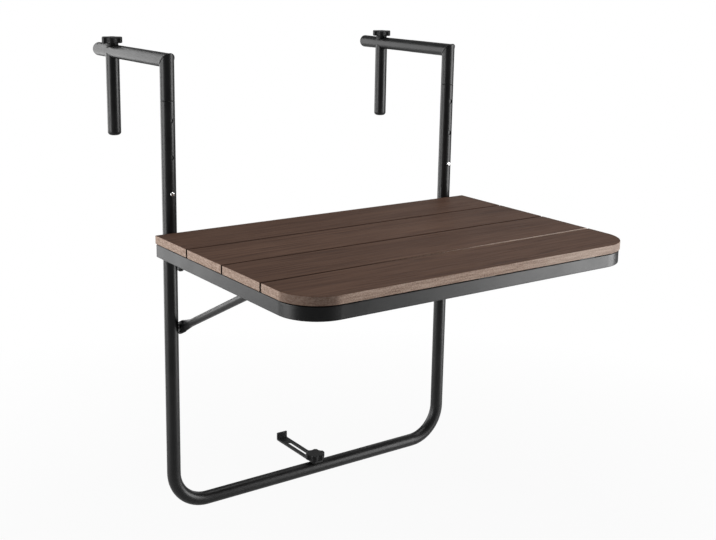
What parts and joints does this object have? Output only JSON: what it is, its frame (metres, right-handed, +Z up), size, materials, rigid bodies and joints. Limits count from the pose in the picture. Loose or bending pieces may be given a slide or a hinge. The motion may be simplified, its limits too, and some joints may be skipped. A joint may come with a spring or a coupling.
{
  "type": "balcony railing bar table",
  "caption": "Hook-on balcony railing table: bent tube frame, height-set hooks with clamped legs, fold-down slatted top on struts, and a slotted stabiliser bar.",
  "frame": {"origin": "the railing seat: midway between the two hooks, on the rear faces of the uprights, under the arms", "axes": "+X to the right seen from the seat, +Y towards the railing, +Z up"},
  "size_m": [0.61, 0.683, 0.7558],
  "materials": {
    "black_steel": "satin powder coat",
    "slat_board": "embossed grain, matt",
    "black_plastic": "fine grain",
    "zinc_steel": "zinc plated",
    "button_steel": "polished"
  },
  "bodies": {
    "frame": {"u_frame": "black_steel", "rivet_nut": "zinc_steel", "pivot_bolts": "zinc_steel", "pivot_nuts": "zinc_steel", "pivot_spacers": "black_plastic", "strut_bolts": "zinc_steel", "strut_nuts": "zinc_steel", "strut_spacers": "black_plastic"},
    "table": {"table_rail": "black_steel", "rear_cross_bar": "black_steel", "rail_end_caps": "black_plastic", "slat_1": "slat_board", "slat_2": "slat_board", "slat_3": "slat_board", "slat_4": "slat_board", "slat_battens": "black_steel", "slat_screws": "zinc_steel", "left_pivot_ear": "black_steel", "right_pivot_ear": "black_steel", "left_strut_guide": "black_steel", "right_strut_guide": "black_steel"},
    "stabiliser_turn": {"stabiliser_washer": "zinc_steel"},
    "stabiliser": {"stabiliser_bar": "black_steel"},
    "stabiliser_knob": {"stabiliser_knob": "black_plastic", "stabiliser_stud": "zinc_steel"},
    "left_strut": {"left_strut": "black_steel", "left_strut_pin": "zinc_steel"},
    "left_hook": {"left_hook_arm": "black_steel", "left_hook_sleeve": "black_steel", "left_arm_cap": "black_plastic", "left_snap_spring": "zinc_steel"},
    "left_button": {"left_snap_button": "button_steel"},
    "left_leg": {"left_hook_leg": "black_steel", "left_leg_insert": "black_plastic", "left_leg_cap": "black_plastic", "left_clamp_washer": "black_plastic"},
    "left_knob": {"left_clamp_knob": "black_plastic", "left_clamp_stud": "zinc_steel"},
    "right_strut": {"right_strut": "black_steel", "right_strut_pin": "zinc_steel"},
    "right_hook": {"right_hook_arm": "black_steel", "right_hook_sleeve": "black_steel", "right_arm_cap": "black_plastic", "right_snap_spring": "zinc_steel"},
    "right_button": {"right_snap_button": "button_steel"},
    "right_leg": {"right_hook_leg": "black_steel", "right_leg_insert": "black_plastic", "right_leg_cap": "black_plastic", "right_clamp_washer": "black_plastic"},
    "right_knob": {"right_clamp_knob": "black_plastic", "right_clamp_stud": "zinc_steel"}
  },
  "joints": [
    {"name": "table_fold", "type": "hinge", "parent": "frame", "child": "table", "pos_m": [0, -0.011, -0.304], "axis": [1, 0, 0], "range_deg": [0, 90]},
    {"name": "stabiliser_swivel", "type": "hinge", "parent": "frame", "child": "stabiliser_turn", "pos_m": [0, -0.011, -0.7], "axis": [0, 0, 1], "range_deg": [-90, 90]},
    {"name": "stabiliser_slide", "type": "slide", "parent": "stabiliser_turn", "child": "stabiliser", "axis": [0, 1, 0], "range_m": [-0.084, 0]},
    {"name": "stabiliser_knob_turn", "type": "hinge", "parent": "frame", "child": "stabiliser_knob", "pos_m": [0, -0.011, -0.7], "axis": [0, 0, 1], "range_deg": [0, 540]},
    {"name": "left_strut_swing", "type": "hinge", "parent": "frame", "child": "left_strut", "pos_m": [-0.259, -0.011, -0.41], "axis": [1, 0, 0], "range_deg": [0, 112]},
    {"name": "left_hook_height", "type": "slide", "parent": "frame", "child": "left_hook", "axis": [0, 0, 1], "range_m": [0, 0.112], "deforming": ["left_snap_button", "left_snap_spring"]},
    {"name": "left_button_press", "type": "slide", "parent": "left_hook", "child": "left_button", "axis": [0, 1, 0], "range_m": [0, 0.0045], "stiffness_N_per_m": 800, "springref_m": -0.002, "deforming": ["left_snap_spring"]},
    {"name": "left_leg_slide", "type": "slide", "parent": "left_hook", "child": "left_leg", "axis": [0, 1, 0], "range_m": [-0.09, 0.03]},
    {"name": "left_knob_turn", "type": "hinge", "parent": "left_leg", "child": "left_knob", "pos_m": [-0.2735, 0.187, 0.0235], "axis": [0, 0, 1], "range_deg": [0, 540]},
    {"name": "right_strut_swing", "type": "hinge", "parent": "frame", "child": "right_strut", "pos_m": [0.259, -0.011, -0.41], "axis": [1, 0, 0], "range_deg": [0, 112]},
    {"name": "right_hook_height", "type": "slide", "parent": "frame", "child": "right_hook", "axis": [0, 0, 1], "range_m": [0, 0.112], "deforming": ["right_snap_button", "right_snap_spring"]},
    {"name": "right_button_press", "type": "slide", "parent": "right_hook", "child": "right_button", "axis": [0, 1, 0], "range_m": [0, 0.0045], "stiffness_N_per_m": 800, "springref_m": -0.002, "deforming": ["right_snap_spring"]},
    {"name": "right_leg_slide", "type": "slide", "parent": "right_hook", "child": "right_leg", "axis": [0, 1, 0], "range_m": [-0.09, 0.03]},
    {"name": "right_knob_turn", "type": "hinge", "parent": "right_leg", "child": "right_knob", "pos_m": [0.2735, 0.187, 0.0235], "axis": [0, 0, 1], "range_deg": [0, 540]}
  ],
  "couplings": [
    {"joint": "left_strut_swing", "follows": "table_fold", "ratio": 1.2412},
    {"joint": "right_strut_swing", "follows": "table_fold", "ratio": 1.2412}
  ]
}
